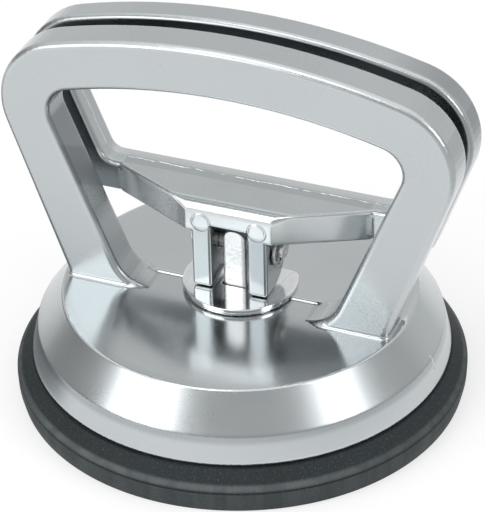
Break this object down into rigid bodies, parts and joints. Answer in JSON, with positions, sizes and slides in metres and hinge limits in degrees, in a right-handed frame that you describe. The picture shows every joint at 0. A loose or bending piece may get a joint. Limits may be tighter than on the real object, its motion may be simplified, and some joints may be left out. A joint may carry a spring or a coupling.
{
  "type": "vacuum suction cup",
  "caption": "Single-cup vacuum lifter: die-cast housing with a fixed D-handle, a cam lever that draws up a rubber suction pad, for glass and tiles.",
  "frame": {"origin": "centre of the rubber pad's underside, on the plane of the glass", "axes": "+X along the grip towards the right hand, -Y towards the fixed handle's side, +Z away from the glass"},
  "size_m": [0.1198, 0.118, 0.1019],
  "materials": {
    "cast_aluminium": "die-cast aluminium under a satin clear silver lacquer",
    "polished_steel": "polished plated steel",
    "zinc_steel": "zinc-plated steel, satin",
    "dark_spring_steel": "phosphated spring steel, dull",
    "pad_rubber": "matt moulded rubber"
  },
  "bodies": {
    "housing": {"cup_housing": "cast_aluminium", "wear_plate": "polished_steel", "rubber_pad": "pad_rubber"},
    "stud": {"draw_stud": "polished_steel", "pivot_pin": "zinc_steel", "retaining_clip_left": "dark_spring_steel", "retaining_clip_right": "dark_spring_steel", "pad_insert": "zinc_steel", "jam_nut": "zinc_steel"},
    "lever": {"cam_lever": "cast_aluminium"}
  },
  "joints": [
    {"name": "stud_slide", "type": "slide", "parent": "housing", "child": "stud", "axis": [0, 0, 1], "range_m": [-0.0035, 0], "deforming": ["rubber_pad"]},
    {"name": "lever_hinge", "type": "hinge", "parent": "stud", "child": "lever", "pos_m": [0, 0, 0.0412], "axis": [-1, 0, 0], "range_deg": [0, 65]}
  ],
  "couplings": [
    {"joint": "stud_slide", "follows": "lever_hinge", "m_per_rad": -0.0030851}
  ]
}
